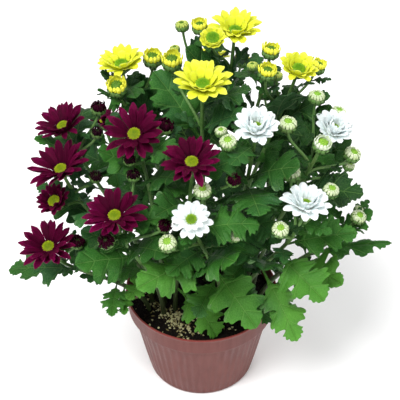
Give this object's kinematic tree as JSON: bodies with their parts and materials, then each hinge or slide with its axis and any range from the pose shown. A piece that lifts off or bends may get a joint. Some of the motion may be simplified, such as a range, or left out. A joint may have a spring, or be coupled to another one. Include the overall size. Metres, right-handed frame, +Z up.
{
  "type": "pot chrysanthemum",
  "caption": "Bushy flowering pot chrysanthemum with yellow, crimson and white daisy blooms over lobed leaves, in soil in a ribbed round plastic pot.",
  "frame": {"origin": "middle of the pot's flat underside", "axes": "+Z up along the pot's axis, -Y towards the front of the plants, +X to the right seen from the front"},
  "size_m": [0.327, 0.2433, 0.3515],
  "materials": {
    "pot": "satin",
    "soil": "matte",
    "foliage": "satin",
    "yellow_petals": "matte",
    "crimson_petals": "matte",
    "white_petals": "matte",
    "eye": "matte"
  },
  "bodies": {
    "root": {"pot": "pot", "soil": "soil", "yellow_stem_1": "foliage", "yellow_stem_2": "foliage", "yellow_stem_3": "foliage", "yellow_stem_4": "foliage", "yellow_stem_5": "foliage", "yellow_stem_6": "foliage", "crimson_stem_1": "foliage", "crimson_stem_2": "foliage", "crimson_stem_3": "foliage", "crimson_stem_4": "foliage", "crimson_stem_5": "foliage", "crimson_stem_6": "foliage", "crimson_stem_7": "foliage", "white_stem_1": "foliage", "white_stem_2": "foliage", "white_stem_3": "foliage", "white_stem_4": "foliage", "white_stem_5": "foliage", "white_stem_6": "foliage", "white_stem_7": "foliage", "yellow_petals_1": "yellow_petals", "yellow_disc_1": "eye", "yellow_petals_2": "yellow_petals", "yellow_disc_2": "eye", "yellow_petals_3": "yellow_petals", "yellow_disc_3": "eye", "yellow_petals_4": "yellow_petals", "yellow_disc_4": "eye", "yellow_petals_5": "yellow_petals", "yellow_disc_5": "eye", "yellow_petals_6": "yellow_petals", "yellow_disc_6": "eye", "crimson_petals_1": "crimson_petals", "crimson_disc_1": "eye", "crimson_petals_2": "crimson_petals", "crimson_disc_2": "eye", "crimson_petals_3": "crimson_petals", "crimson_disc_3": "eye", "crimson_petals_4": "crimson_petals", "crimson_disc_4": "eye", "crimson_petals_5": "crimson_petals", "crimson_disc_5": "eye", "crimson_petals_6": "crimson_petals", "crimson_disc_6": "eye", "crimson_petals_7": "crimson_petals", "crimson_disc_7": "eye", "crimson_petals_8": "crimson_petals", "crimson_disc_8": "eye", "white_petals_1": "white_petals", "white_disc_1": "eye", "white_petals_2": "white_petals", "white_disc_2": "eye", "white_petals_3": "white_petals", "white_disc_3": "eye", "white_petals_4": "white_petals", "white_disc_4": "eye", "white_petals_5": "white_petals", "white_disc_5": "eye"}
  },
  "joints": []
}
